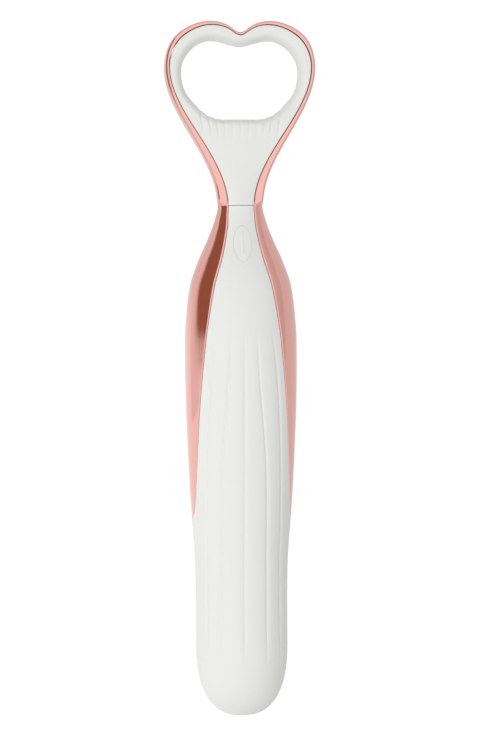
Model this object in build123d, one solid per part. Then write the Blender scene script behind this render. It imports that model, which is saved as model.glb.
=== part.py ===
from build123d import *
import math
import os

# A hand-held, rechargeable massaging wand for the skin. It lies on its back on a table: +Y runs
# along it from the domed tip to the heart-shaped finger loop, +Z comes out of its front, +X is to
# its right seen from the front. The origin is under the middle of its length, on the table.
# Every distance "from the tip" below is measured along +Y. All sizes are in millimetres.

# ---------------------------------------------------------------- outer shape
body_length = 165.2      # tip to the seam at the neck
loop_length = 59.8       # seam to the tops of the heart's two lobes
body_width = 36.3        # at the shoulder, the widest place of the body
body_depth = 33.0
belly_width = 29.8       # the lower, massaging end
belly_depth = 27.6
neck_width = 14.6        # at the seam
neck_depth = 11.6
loop_width = 49.0        # over the heart's lobes
loop_depth = 12.0
dome_length = 24.0       # the rounded end
dome_power = 2.5         # 2 would be an ellipse, more is blunter
back_flat = 0.4          # taken off the back all along, so that the wand doesn't roll

# ---------------------------------------------------------------- walls and gaps
skin_wall = 2.0          # silicone sleeve, and the plated frame's flanks beside it
core_wall = 1.4          # hard inner shells
trim_gap = 0.15          # between silicone and plated frame
fit_gap = 0.1            # between hard parts that slot together
move_gap = 0.3           # round anything that moves
seam_joint = 0.05        # between the flanks' upper ends and the band

# ---------------------------------------------------------------- plated frame and loop
band_at_loop = 1.45      # how wide the plated band looks from the front, round the heart
band_at_neck = 3.0
band_at_cleft = 1.16
band_round = 1.35        # rounding of the band's outer edges
ring_width = 4.1         # white ring inside the band, at the heart's sides
ring_at_lobe = 4.75      # and at the lobes' tops
ring_at_cleft = 3.3
web_length = 28.1        # seam to the lower edge of the finger opening
web_waist = 0.93         # the loop's thinnest place above the seam, as a share of the neck's depth
lens_ease = 0.05         # how far the loop's section is left wider than the neck at the seam
cleft_depth = 3.6        # how far the heart's notch lies below its lobes
flank_end = 62.7         # the flanks' pointed ends, from the tip
ring_round = 1.9         # rounding of the white ring's inner edges
spine_cover = 2.9        # silicone over the loop's hard spine, front and back
spine_side = 1.0         # and beside it, along the band
spine_lip = 1.4          # and along the opening
seal_thickness = 0.5

# ---------------------------------------------------------------- grooves
groove_width = 0.9
groove_depth = 0.35
groove_feet = (-0.80, -0.50, 0.0, 0.50, 0.80)     # shares of the half width at groove_from
groove_heads = (-0.57, -0.25, 0.0, 0.25, 0.57)    # and at groove_to
groove_from = 24.0       # from the tip
groove_to = 120.0
grip_notches = 9
grip_pitch = 2.65
grip_length = 5.0
grip_notch_radius = 0.45

# ---------------------------------------------------------------- button and switch
button_from_tip = 152.7
button_length = 11.9
button_width = 5.7
button_mark_length = 6.0
button_mark_width = 0.9
button_mark_height = 0.3
button_travel = 0.5
plunger_radius = 1.6
flange_rim = 0.7
flange_thickness = 0.7
switch_size = 4.5
switch_height = 2.0
stem_radius = 0.9
stem_height = 0.7
stem_root = 0.4          # how far the stem stands in the switch when it is up

# ---------------------------------------------------------------- circuit board
board_from = 111.0       # from the tip
board_to = 156.5
board_lift = 0.6         # underside over the body's middle
board_width = 8.6
board_thickness = 1.0
board_post_radius = 2.0
board_posts = (114.5, 136.0)
chip_size = 5.0
chip_height = 0.9
chip_from_tip = 125.0
lamp_size = (1.6, 0.8, 0.6)
lamp_from_tip = 144.0

# ---------------------------------------------------------------- battery
cell_radius = 7.1
cell_length = 50.0
cell_from = 54.0
tab_thickness = 0.2
tab_width = 5.0
tab_height = 6.0
foam_width = 6.0
foam_margin = 8.0
foam_squeeze = 0.05      # room left between foam and shell
cradle_stations = (62.0, 78.0)
cradle_thickness = 1.6
cradle_drop = 3.0        # the cradles' tops, below the parting line
cell_round = 0.6

# ---------------------------------------------------------------- motor
can_radius = 6.5
can_wall = 0.5
can_length = 18.0
can_from = 24.0
shaft_radius = 0.75
weight_radius = 6.0
weight_length = 9.0
weight_gap = 1.6         # between the weight and the motor's front face
bush_radius = 2.0
bush_length = 3.0
bearing_gap = 0.04
end_cap_length = 2.6
terminal_size = (2.0, 3.2, 0.4)
terminal_spacing = 6.6
rotor_radius = 4.4
rotor_length = 10.0
rotor_ahead = 0.9        # from the bush's end to the armature
magnet_slot = 4.55       # between the two magnets
magnet_thickness = 0.9
boot_wall = 1.3
boot_margin = 2.0
rib_thickness = 2.0
rib_inset = 2.2

# ---------------------------------------------------------------- fasteners, charging, wiring
boss_radius = 2.3
boss_sink = 0.1          # how far the bosses sink into the wall beside them
boss_below = 4.3         # the screw heads' seats, below the parting line
screw_radius = 0.8
screw_head_radius = 1.5
screw_head_height = 1.2
screw_length = 9.0
short_screw_length = 5.0
boss_stations = (58.0, 98.0)
tongue_width = 6.4
tongue_thickness = 3.4
tongue_drop = 3.6        # its underside, below the body's middle
tongue_end = 140.0       # from the tip
tongue_root = 158.4      # where the spine's block becomes the tongue
tongue_screws = (144.0, 150.5)
tongue_seat = 2.4        # wall between those screws' heads and the tongue
pad_from_tip = 92.0
pad_length = 16.0
pad_width = 9.0
pad_recess = 0.8
pad_thickness = 3.4
pad_flange = 0.7         # how far the pad's flange reaches round it, inside the shell
contact_radius = 1.0
contact_spacing = 5.0
contact_tail = 1.5
magnet_radius = 1.6
magnet_height = 1.6
magnet_spacing = 11.6
lead_radius = 0.5
lead_clearance = 1.0     # between a lead's side and the cell
lead_bend = 1.2

# ---------------------------------------------------------------- places worked out from the sizes
overall_length = body_length + loop_length
tip_y = -overall_length / 2
seam_y = tip_y + body_length
axis_z = body_depth / 2 - back_flat
belly_z = belly_depth / 2 - back_flat
whole_wall = skin_wall + core_wall
parting_z = (axis_z + belly_z) / 2
body_half, belly_half = body_width / 2, belly_width / 2
neck_half, loop_half = neck_width / 2, loop_width / 2

# Shares of body_length, and of the way from one named width to the next, that give the outline.
lower_flank = ((0.145, 0.0), (0.225, 0.0), (0.300, 0.06), (0.382, 0.34), (0.460, 0.61),
               (0.540, 0.80), (0.618, 0.95), (0.700, 1.0), (0.735, 1.0))
upper_flank = ((0.798, 0.94), (0.845, 0.84), (0.892, 0.60), (0.939, 0.285), (0.975, 0.083), (1.0, 0.0))


def hermite(table, at):
    """Smooth value at a place along a table of (place, value), with no overshoot at flat places."""
    if at <= table[0][0]:
        return table[0][1]
    if at >= table[-1][0]:
        return table[-1][1]
    i = max(k for k in range(len(table) - 1) if table[k][0] <= at)

    def rise(k):
        return (table[k + 1][1] - table[k][1]) / (table[k + 1][0] - table[k][0])

    def slope(k):
        if k == 0 or k == len(table) - 1:
            return 0.0
        before, after = rise(k - 1), rise(k)
        if before * after <= 0:
            return 0.0
        return 2 * before * after / (before + after)

    span = table[i + 1][0] - table[i][0]
    t = (at - table[i][0]) / span
    value = (2 * t**3 - 3 * t**2 + 1) * table[i][1] + (3 * t**2 - 2 * t**3) * table[i + 1][1]
    value += (t**3 - 2 * t**2 + t) * span * slope(i) + (t**3 - t**2) * span * slope(i + 1)
    return value


width_line = [(s * body_length, belly_half + k * (body_half - belly_half)) for s, k in lower_flank]
width_line += [(s * body_length, neck_half + k * (body_half - neck_half)) for s, k in upper_flank]
belly_ratio, body_ratio, neck_ratio = belly_depth / belly_width, body_depth / body_width, neck_depth / neck_width
ratio_line = [(0.30 * body_length, belly_ratio), (0.71 * body_length, body_ratio),
              (0.92 * body_length, 0.5 * (body_ratio + neck_ratio)), (body_length, neck_ratio)]


def half_width(at):
    """Half the body's width at a distance from the tip."""
    if at < dome_length:
        return belly_half * (1 - (1 - at / dome_length) ** dome_power) ** (1 / dome_power)
    return hermite(width_line, at)


def half_depth(at):
    return hermite(ratio_line, at) * half_width(at)


def centre_z(at):
    """Height of the body's middle. Its back lies straight on the table from belly to shoulder."""
    if at > 0.70 * body_length:
        return axis_z
    return hermite(ratio_line, at) * max(hermite(width_line, at), belly_half) - back_flat


def station(at, inset):
    """Centre and half sizes of the body's elliptical section, taken in from the surface by inset."""
    step = 0.02
    slope = (half_width(at + step) - half_width(at - step)) / (2 * step)
    long = math.hypot(1, slope)
    wide = half_width(at) - inset / long
    return at + inset * slope / long, wide, hermite(ratio_line, at) * wide, centre_z(at)


def body(inset=0.0, top=None):
    """The whole body from tip to seam, or the same shape taken in by inset all over."""
    shares = (0.02, 0.07, 0.16, 0.30, 0.48, 0.72)
    places = [s * dome_length for s in shares] + [at for at, _ in width_line]
    sections = [Vertex(0, tip_y + inset, belly_z)]
    for at in places:
        along, wide, deep, middle = station(min(at, body_length - 0.03), inset)
        if at == body_length:
            along = body_length
        plane = Plane(origin=(0, tip_y + along, middle), x_dir=(1, 0, 0), z_dir=(0, 1, 0))
        sections.append(plane * Rot(0, 0, 90) * Ellipse(deep, wide))
    whole = loft([s if isinstance(s, Vertex) else s.face() for s in sections])
    if top is not None:
        keep = Box(100, 300, 100, align=(Align.CENTER, Align.MAX, Align.CENTER))
        whole &= Pos(0, tip_y + top, axis_z) * keep
    return whole


def slab(low, high, size=100.0):
    """Everything between two distances from the tip."""
    block = Box(size, high - low, size, align=(Align.CENTER, Align.MIN, Align.CENTER))
    return Pos(0, tip_y + low, axis_z) * block


def above(z, size=300.0):
    """Everything over a height."""
    return Pos(0, 0, z) * Box(size, size, size, align=(Align.CENTER, Align.CENTER, Align.MIN))


def below(z, size=300.0):
    """Everything under a height."""
    return Pos(0, 0, z) * Box(size, size, size, align=(Align.CENTER, Align.CENTER, Align.MAX))


def rod(radius, at, length, x=0.0, z=0.0):
    """A cylinder along +Y, from a distance from the tip."""
    plane = Plane(origin=(x, tip_y + at, z), x_dir=(1, 0, 0), z_dir=(0, 1, 0))
    return plane * Cylinder(radius, length, align=(Align.CENTER, Align.CENTER, Align.MIN))


def post(radius, at, low, high, x=0.0):
    """A cylinder along +Z, between two heights."""
    base = Pos(x, tip_y + at, low)
    return base * Cylinder(radius, high - low, align=(Align.CENTER, Align.CENTER, Align.MIN))


def block(size_x, size_y, size_z, x, at, z):
    """A box that stands on height z, with the middle of its length at a distance from the tip."""
    shape = Box(size_x, size_y, size_z, align=(Align.CENTER, Align.CENTER, Align.MIN))
    return Pos(x, tip_y + at, z) * shape


def oval(length, width, at, low, high):
    """An upright prism with round ends, lying along Y."""
    outline = Pos(0, tip_y + at, low) * (Rot(0, 0, 90) * SlotOverall(length, width))
    return extrude(outline, high - low, dir=(0, 0, 1))


def one(shape):
    """The shape's largest solid, for a piece that booleans may leave with loose slivers."""
    return max(shape.solids(), key=lambda s: s.volume)


def tube(points, radii):
    path = FilletPolyline(*points, radius=radii)
    start = Plane(origin=path @ 0, z_dir=path % 0)
    return sweep(start * Circle(lead_radius), path=path)


# ---------------------------------------------------------------- outlines of the loop
def heart(side, neck, notch, low=0.0):
    """The heart's outline over the seam, taken in by side, at the neck by neck, at the notch by notch."""
    root, wide, top = neck_half - neck, loop_half - side, loop_length - side
    dip = loop_length - cleft_depth - notch

    def flare(share_x, share_y):
        return (root + share_x * (wide - root), share_y * loop_length)

    flank = [(root, 0), flare(0.198, 0.222), flare(0.576, 0.418), flare(0.86, 0.574)]
    flank.append((wide, 0.7475 * loop_length))
    lobe = [flank[-1], (0.886 * wide, 0.905 * top), (0.694 * wide, 0.968 * top), (0.396 * wide, top)]
    cleft = [lobe[-1], (0.12 * wide, dip + 0.43 * (top - dip)), (0, dip)]
    return outline([(root, -low)] if low else [], flank, lobe, cleft)


def opening(grow):
    """The finger opening's outline, grown outwards by grow."""
    wide = loop_half - band_at_loop - ring_width + grow
    low = web_length - grow
    top = loop_length - band_at_loop - ring_at_lobe + grow
    dip = loop_length - cleft_depth - band_at_cleft - ring_at_cleft + grow
    tall = top - low
    foot = [(0.36 * wide, low), (0.751 * wide, low + 0.18 * tall), (0.918 * wide, low + 0.333 * tall)]
    foot.append((wide, low + 0.6 * tall))
    lobe = [foot[-1], (0.852 * wide, low + 0.867 * tall), (0.495 * wide, top)]
    cleft = [lobe[-1], (0.16 * wide, dip + 0.28 * (top - dip)), (0, dip)]
    return outline([(0, low)], foot, lobe, cleft, flat_foot=True)


def outline(lead_in, flank, lobe, cleft, flat_foot=False):
    """A face on the body's middle plane from the right half of its outline, mirrored to the left."""
    first = (1, 0) if flat_foot else (0, 1)
    edges = [Spline(*flank, tangents=(first, (0, 1))), Spline(*lobe, tangents=((0, 1), (-1, 0)))]
    edges.append(Spline(*cleft, tangents=((-1, 0), (-1, 0))))
    if lead_in:
        edges.insert(0, Line(lead_in[0], flank[0]))
    start = lead_in[0] if lead_in else flank[0]
    if start[0] > 0:
        edges.insert(0, Line((0, start[1]), start))
    edges.append(Line(cleft[-1], (0, start[1])))
    half = make_face(edges)
    return Pos(0, seam_y, 0) * (half + mirror(half, about=Plane.YZ))


def upright(face, half_height):
    return extrude(Pos(0, 0, axis_z - half_height) * face, 2 * half_height, dir=(0, 0, 1))


def lens():
    """Gives the loop the neck's own elliptical section at the seam, and leaves it free further up."""
    neck_z, loop_z = neck_depth / 2, loop_depth / 2
    waist_z = web_waist * neck_z
    rows = ((0, neck_half + lens_ease, neck_z), (6, 1.36 * neck_half, waist_z), (13, 2.3 * neck_half, waist_z))
    rows += ((26, 6 * neck_half, 1.4 * loop_z), (loop_length + 1, 10 * neck_half, 2.5 * loop_z))
    faces = []
    for rise, wide, deep in rows:
        plane = Plane(origin=(0, seam_y + rise, axis_z), x_dir=(1, 0, 0), z_dir=(0, 1, 0))
        faces.append((plane * Rot(0, 0, 90) * Ellipse(deep, wide)).face())
    return loft(faces)


def loop_envelope():
    """The whole finger loop's outer shape, before its opening is cut."""
    prism = upright(heart(0, 0, 0, low=4.0), loop_depth / 2)
    rims = prism.edges().filter_by(lambda e: abs(abs(e.center().Z - axis_z) - loop_depth / 2) < 0.01)
    rims = rims.filter_by(lambda e: e.center().Y > seam_y)
    rounded = fillet(rims, min(band_round, 0.93 * band_at_loop))
    return one(lens() & rounded)


def leaf(gap):
    """Both side regions that the frame's flanks fill, grown by gap. They end in points."""
    shares = ((0.400, 0.27), (0.425, 0.38), (0.50, 0.50), (0.62, 0.63), (0.73, 0.735), (0.835, 0.82),
              (0.91, 0.87), (1.0, 0.83))
    places = [(min(s, 0.9998) * body_length, k) for s, k in shares]
    up = [(tip_y + flank_end - gap, centre_z(flank_end - gap))]
    up += [(tip_y + at, centre_z(at) + k * half_depth(at) + gap) for at, k in places]
    down = [(y, 2 * centre_z(y - tip_y) - z) for y, z in up]
    edges = [Spline(*up), Line(up[-1], down[-1]), Spline(*down)]
    side = Plane.YZ * make_face(edges)
    inner = neck_half - band_at_neck - gap
    reach = body_width
    right = extrude(Pos(inner, 0, 0) * side, reach, dir=(1, 0, 0))
    left = extrude(Pos(-inner, 0, 0) * side, reach, dir=(-1, 0, 0))
    return right, left


# ---------------------------------------------------------------- silicone and frame
def groove_cuts():
    """Shallow lengthwise grooves: the body taken in by groove_depth, kept inside thin vertical blades."""
    core = body() - body(groove_depth)
    middle = 0.5 * (groove_from + groove_to)
    blades = []
    for foot_share, head_share in zip(groove_feet, groove_heads):
        foot = half_width(groove_from) * foot_share
        head = half_width(groove_to) * head_share
        turn = math.degrees(math.atan2(head - foot, groove_to - groove_from))
        blade = Box(groove_width, groove_to - groove_from, body_depth)
        place = Pos(0.5 * (foot + head), tip_y + middle, axis_z + body_depth / 2) * Rot(0, 0, -turn)
        blades.append(place * blade)
    return [core & blade for blade in blades]


def body_skin():
    layer = body() - body(skin_wall)
    for side in leaf(trim_gap):
        layer -= side
    reach = body_depth + 10
    layer -= oval(button_length + 2 * move_gap, button_width + 2 * move_gap, button_from_tip, axis_z, reach)
    layer -= oval(pad_length + 2 * trim_gap, pad_width + 2 * trim_gap, pad_from_tip, -1, belly_z / 2)
    for cut in groove_cuts():
        layer -= cut
    layer &= above(0)
    return one(layer & slab(-1, body_length - trim_gap))


def finger_ribs():
    """Grip grooves where a finger meets the opening's lower edge, front and back."""
    notches = []
    for i in range(grip_notches):
        x = (i - (grip_notches - 1) / 2) * grip_pitch
        for side in (1, -1):
            middle = seam_y + web_length - 0.6 * grip_length + 0.35 * abs(x)
            place = (x, middle, axis_z + side * (loop_depth / 2 + 0.2 * grip_notch_radius))
            plane = Plane(origin=place, x_dir=(1, 0, 0), z_dir=(0.02 * x, 1, 0))
            notches.append(plane * Cylinder(grip_notch_radius, grip_length))
    return notches


def loop_skin(envelope):
    white = envelope & upright(heart(band_at_loop + trim_gap, band_at_neck + trim_gap,
                                     band_at_cleft + trim_gap, low=2.0), loop_depth)
    white -= upright(opening(0), loop_depth)
    rims = white.edges().filter_by(lambda e: abs(e.center().Z - axis_z) > 0.8 * loop_depth / 2)
    wide = loop_half - band_at_loop - ring_width + 0.6
    low = seam_y + web_length - 0.4
    top = seam_y + loop_length - band_at_loop - ring_at_lobe + 0.4

    def on_opening(edge):
        box = edge.bounding_box()
        return box.max.X < wide and box.min.X > -wide and box.min.Y > low and box.max.Y < top

    white = fillet(rims.filter_by(on_opening), ring_round)
    white -= loop_spine_ring(fit_gap)
    for notch in finger_ribs():
        white -= notch
    return one(white & slab(body_length + trim_gap, overall_length + 1))


def loop_spine_ring(gap):
    """The hard ring inside the loop's silicone, grown by gap."""
    cover = spine_side - gap
    face = heart(band_at_loop + cover, band_at_neck + cover, band_at_cleft + cover, low=1.0)
    ring = upright(face, loop_depth / 2 - spine_cover + gap)
    return ring - upright(opening(spine_lip - gap), loop_depth)


def neck_block():
    return body(skin_wall + fit_gap) & slab(tongue_root, body_length + 1)


def tongue(gap=0.0):
    low = axis_z - tongue_drop - gap
    start, end = tongue_end - gap, tongue_root + 1.0
    middle = 0.5 * (start + end)
    return block(tongue_width + 2 * gap, end - start, tongue_thickness + 2 * gap, 0, middle, low)


def loop_spine():
    whole = loop_spine_ring(0) + neck_block() + tongue()
    for at in tongue_screws:
        whole -= post(screw_radius, at, 0, tongue_seat_z() + short_screw_length)
    return one(whole)


def tongue_seat_z():
    return axis_z - tongue_drop - fit_gap - tongue_seat


def loop_band(envelope):
    """The plated band round the heart, down to the seam."""
    return one(envelope - upright(heart(band_at_loop, band_at_neck, band_at_cleft, low=2.0), loop_depth))


def flanks():
    """The plated flanks that carry the band's line on down both sides of the body."""
    layer = body() - body(skin_wall)
    return [one(layer & side & slab(0, body_length - seam_joint)) for side in leaf(0)]


def cap_wall():
    """The button's thickness: the sleeve's, less the room it needs to be pressed in."""
    return skin_wall - button_travel - fit_gap


def power_button():
    prism = oval(button_length, button_width, button_from_tip, axis_z, body_depth + 10)
    cap = (body() & prism) - body(cap_wall())
    mark = (body(-button_mark_height) & oval(button_mark_length, button_mark_width, button_from_tip, axis_z,
                                             body_depth + 10)) - body(0.05)
    return one(cap + mark)


# ---------------------------------------------------------------- hard shells
def boss_x(at):
    return half_width(at) - skin_wall - core_wall - boss_radius + boss_sink


def core_shell():
    return (body(skin_wall + fit_gap) - body(whole_wall)) & slab(-1, tongue_root - seal_thickness)


def boot_ribs():
    """Rings inside the shells that carry the rubber boot round the motor."""
    ribs = []
    for at in (can_from + rib_inset, can_from + can_length - rib_inset - rib_thickness):
        disc = body(whole_wall - boss_sink) & slab(at, at + rib_thickness)
        ribs.append(disc - rod(can_radius + boot_wall, at - 1, rib_thickness + 2, z=belly_z))
    return ribs


def core_front_shell():
    shell = core_shell()
    room = body(whole_wall - boss_sink)
    for rib in boot_ribs():
        shell += rib
    for at in boss_stations:
        for side in (1, -1):
            shell += post(boss_radius, at, parting_z, body_depth, side * boss_x(at)) & room
    shell &= above(parting_z + fit_gap / 2)
    for at in boss_stations:
        for side in (1, -1):
            shell -= post(screw_radius, at, 0, parting_z - boss_below + screw_length, side * boss_x(at))
    shell -= post(plunger_radius + move_gap, button_from_tip, axis_z, body_depth + 5)
    flange_top = stem_top() + flange_thickness
    shell -= post(plunger_radius + flange_rim + move_gap, button_from_tip, axis_z, flange_top + move_gap)
    shell -= tongue(fit_gap)
    return one(shell)


def core_rear_shell():
    shell = core_shell()
    room = body(whole_wall - boss_sink)
    for rib in boot_ribs():
        shell += rib
    for at in boss_stations:
        for side in (1, -1):
            shell += post(boss_radius, at, -1, parting_z, side * boss_x(at)) & body(skin_wall + fit_gap)
    for at in cradle_stations:
        cradle = room & slab(at, at + cradle_thickness) & below(parting_z - cradle_drop)
        shell += cradle - rod(cell_radius + fit_gap, at - 1, cradle_thickness + 2, z=parting_z)
    for at in board_posts:
        shell += post(board_post_radius, at, -1, board_low(), 0) & (room + above(axis_z))
    for at in tongue_screws:
        shell += post(boss_radius, at, -1, axis_z - tongue_drop - fit_gap) & room
    shell &= below(parting_z - fit_gap / 2) + board_column()
    for at in boss_stations:
        for side in (1, -1):
            x, seat = side * boss_x(at), parting_z - boss_below
            shell -= post(screw_radius, at, 0, parting_z + 1, x)
            shell -= post(screw_head_radius + fit_gap, at, -2, seat, x)
    for at in tongue_screws:
        shell -= post(screw_radius, at, 0, parting_z + 1)
        shell -= post(screw_head_radius + fit_gap, at, -2, tongue_seat_z())
    for at in board_posts:
        shell -= post(screw_radius, at, board_low() - short_screw_length, board_low() + 1)
    shell -= oval(pad_length + 2 * fit_gap, pad_width + 2 * fit_gap, pad_from_tip, -1, belly_z / 2)
    shell -= tongue(fit_gap)
    return one(shell)


def board_column():
    """The part of the board's posts that stands over the parting line."""
    columns = [post(board_post_radius, at, parting_z - 1, board_low()) for at in board_posts]
    return columns[0] + columns[1]


def board_low():
    return axis_z + board_lift


def board_top():
    return board_low() + board_thickness


def screw(at, seat, length, x=0.0, down=False):
    """A pan-head screw whose head bears on height seat. It points up, or down if down is true."""
    if down:
        head = post(screw_head_radius, at, seat, seat + screw_head_height, x)
        return post(screw_radius, at, seat - length, seat, x) + head
    head = post(screw_head_radius, at, seat - screw_head_height, seat, x)
    return post(screw_radius, at, seat, seat + length, x) + head


def shell_screws():
    seat = parting_z - boss_below
    return [screw(at, seat, screw_length, s * boss_x(at)) for at in boss_stations for s in (1, -1)]


def spine_screws():
    return [screw(at, tongue_seat_z(), short_screw_length) for at in tongue_screws]


def board_screws():
    return [screw(at, board_top(), short_screw_length, down=True) for at in board_posts]


def neck_seal():
    ring = body(skin_wall + 3 * fit_gap) & slab(tongue_root - seal_thickness, tongue_root)
    return one(ring - tongue(fit_gap))


# ---------------------------------------------------------------- electronics
def circuit_board():
    length = board_to - board_from
    board = block(board_width, length, board_thickness, 0, 0.5 * (board_from + board_to), board_low())
    for at in board_posts:
        board -= post(screw_radius, at, board_low() - 1, board_top() + 1)
    return board


def switch_top():
    return board_top() + switch_height


def stem_top():
    return switch_top() + stem_height


def switch_body():
    case = block(switch_size, switch_size, switch_height, 0, button_from_tip, board_top())
    floor = switch_top() - stem_root - button_travel - fit_gap
    return case - post(stem_radius + fit_gap, button_from_tip, floor, switch_top() + 1)


def switch_stem():
    return post(stem_radius, button_from_tip, switch_top() - stem_root, stem_top())


def button_plunger():
    stem = post(plunger_radius, button_from_tip, stem_top(), body_depth + 5) & body(cap_wall())
    flange = post(plunger_radius + flange_rim, button_from_tip, stem_top(), stem_top() + flange_thickness)
    return one(stem + flange)


def controller_chip():
    return block(chip_size, chip_size, chip_height, 0, chip_from_tip, board_top())


def status_lamp():
    return block(*lamp_size, 0, lamp_from_tip, board_top())


def battery_cell():
    return fillet(rod(cell_radius, cell_from, cell_length, z=parting_z).edges(), cell_round)


def battery_tabs():
    z = parting_z - tab_height / 2
    rear = block(tab_width, tab_thickness, tab_height, 0, cell_from - tab_thickness / 2, z)
    front = block(tab_width, tab_thickness, tab_height, 0, cell_from + cell_length + tab_thickness / 2, z)
    return [rear, front]


def battery_foam():
    middle, low = cell_from + cell_length / 2, parting_z + cell_radius / 2
    strip = body(whole_wall + foam_squeeze)
    strip &= block(foam_width, cell_length - 2 * foam_margin, body_depth, 0, middle, low)
    return one(strip - rod(cell_radius + foam_squeeze, cell_from - 1, cell_length + 2, z=parting_z))


# ---------------------------------------------------------------- motor
def motor_can():
    can = rod(can_radius, can_from, can_length, z=belly_z)
    can -= rod(can_radius - can_wall, can_from + can_wall, can_length, z=belly_z)
    return can - rod(bush_radius, can_from - 1, bush_length + 1, z=belly_z)


def motor_bush():
    start = can_from - weight_gap / 3
    bore = rod(shaft_radius + bearing_gap, start - 1, bush_length + 2, z=belly_z)
    return rod(bush_radius, start, bush_length, z=belly_z) - bore


def motor_end_cap():
    start = can_from + can_length - end_cap_length
    cap = rod(can_radius - can_wall, start, end_cap_length, z=belly_z)
    return cap - rod(shaft_radius + bearing_gap, start - 1, 0.75 * end_cap_length + 1, z=belly_z)


def motor_magnets():
    start = can_from + bush_length + 0.5 * rotor_ahead
    ring = rod(can_radius - can_wall, start, rotor_length + rotor_ahead, z=belly_z)
    ring -= rod(can_radius - can_wall - magnet_thickness, start - 1, rotor_length + 3, z=belly_z)
    gap = Pos(0, tip_y + start, belly_z) * Box(magnet_slot, 4 * rotor_length, 4 * can_radius)
    return (ring - gap).solids()


def motor_terminals():
    width, length, thickness = terminal_size
    at = can_from + can_length + length / 2
    return [block(width, length, thickness, s * terminal_spacing / 2, at, belly_z) for s in (1, -1)]


def motor_shaft():
    start = can_from - weight_gap - weight_length
    end = can_from + can_length - end_cap_length * 0.3
    return rod(shaft_radius, start, end - start, z=belly_z)


def rotor_armature():
    start = can_from + bush_length + rotor_ahead
    bore = rod(shaft_radius, start - 1, rotor_length + 2, z=belly_z)
    return rod(rotor_radius, start, rotor_length, z=belly_z) - bore


def eccentric_weight():
    start = can_from - weight_gap - weight_length
    half = rod(weight_radius, start, weight_length, z=belly_z)
    half &= below(belly_z)
    hub = rod(2.2 * shaft_radius, start, weight_length, z=belly_z)
    return one(half + hub - rod(shaft_radius, start - 1, weight_length + 2, z=belly_z))


def motor_boot():
    start, length = can_from + boot_margin / 2, can_length - boot_margin
    sleeve = rod(can_radius + boot_wall, start, length, z=belly_z)
    return sleeve - rod(can_radius, start - 1, length + 2, z=belly_z)


# ---------------------------------------------------------------- charging pad
def pad_top():
    return pad_recess + pad_thickness


def spread(spacing):
    return (pad_from_tip - spacing / 2, pad_from_tip + spacing / 2)


def contact_carrier():
    plug = oval(pad_length, pad_width, pad_from_tip, pad_recess, pad_top())
    rim = 2 * pad_flange
    flange = oval(pad_length + rim, pad_width + rim, pad_from_tip, 0, pad_top() + pad_flange)
    carrier = plug + (flange & body(whole_wall + foam_squeeze))
    for at in spread(contact_spacing):
        carrier -= post(contact_radius, at, -1, pad_top() + 5)
    for at in spread(magnet_spacing):
        carrier -= post(magnet_radius, at, magnet_seat(), pad_top() + 5)
    return one(carrier)


def magnet_seat():
    return pad_top() + pad_flange - magnet_height


def charge_contacts():
    top = pad_top() + contact_tail
    return [post(contact_radius, at, pad_recess, top) for at in spread(contact_spacing)]


def charge_magnets():
    low = magnet_seat()
    return [post(magnet_radius, at, low, low + magnet_height) for at in spread(magnet_spacing)]


# ---------------------------------------------------------------- wiring
def lead(points, bend=1.6):
    return tube([(x, tip_y + at, z) for x, at, z in points], [bend] * (len(points) - 2))


def over_cell(x):
    """Height of a lead that runs along the cell at x, clear of it by a little."""
    return parting_z + math.sqrt((cell_radius + lead_radius + lead_clearance) ** 2 - x ** 2)


def motor_leads():
    start = can_from + can_length + terminal_size[1]
    wires = []
    for side in (1, -1):
        x0, x1, z1 = side * terminal_spacing / 2, side * 6.6, over_cell(6.6)
        z0 = belly_z + terminal_size[2] / 2
        wires.append(lead([(x0, start, z0), (x0, start + 2.6, z0), (x1, cell_from - 2.4, z1),
                           (x1, board_from + 2.0, z1), (side * 3.4, board_from + 12.0, z1),
                           (side * 3.4, board_from + 12.0, board_top())], 1.3))
    return wires


def battery_leads():
    x, z = 4.2, over_cell(4.2)
    rear = [(1.5, cell_from - tab_thickness, parting_z + 2.0), (1.5, cell_from - 3.4, parting_z + 2.0),
            (x, cell_from - 3.0, z), (x, board_from - 1.0, z), (2.0, board_from + 9.0, z),
            (2.0, board_from + 9.0, board_top())]
    ahead, high = cell_from + cell_length + tab_thickness, board_top() + 3.0
    front = [(0, ahead, parting_z + 2.0), (0, ahead + 3.4, parting_z + 2.0), (0, board_from - 1.2, high),
             (0, board_from + 7.5, high), (0, board_from + 7.5, board_top())]
    return [lead(rear, 1.2), lead(front, 1.2)]


def charge_leads():
    wires = []
    for at, x in zip(spread(contact_spacing), (2.2, -2.2)):
        z = pad_top() + contact_tail
        wires.append(lead([(0, at, z), (0, at, z + 1.1), (x, board_from - 3.0, z + 1.1),
                           (x, board_from + 2.0, z + 3.0), (x, board_from + 2.0, board_low())], 0.9))
    return wires


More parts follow.
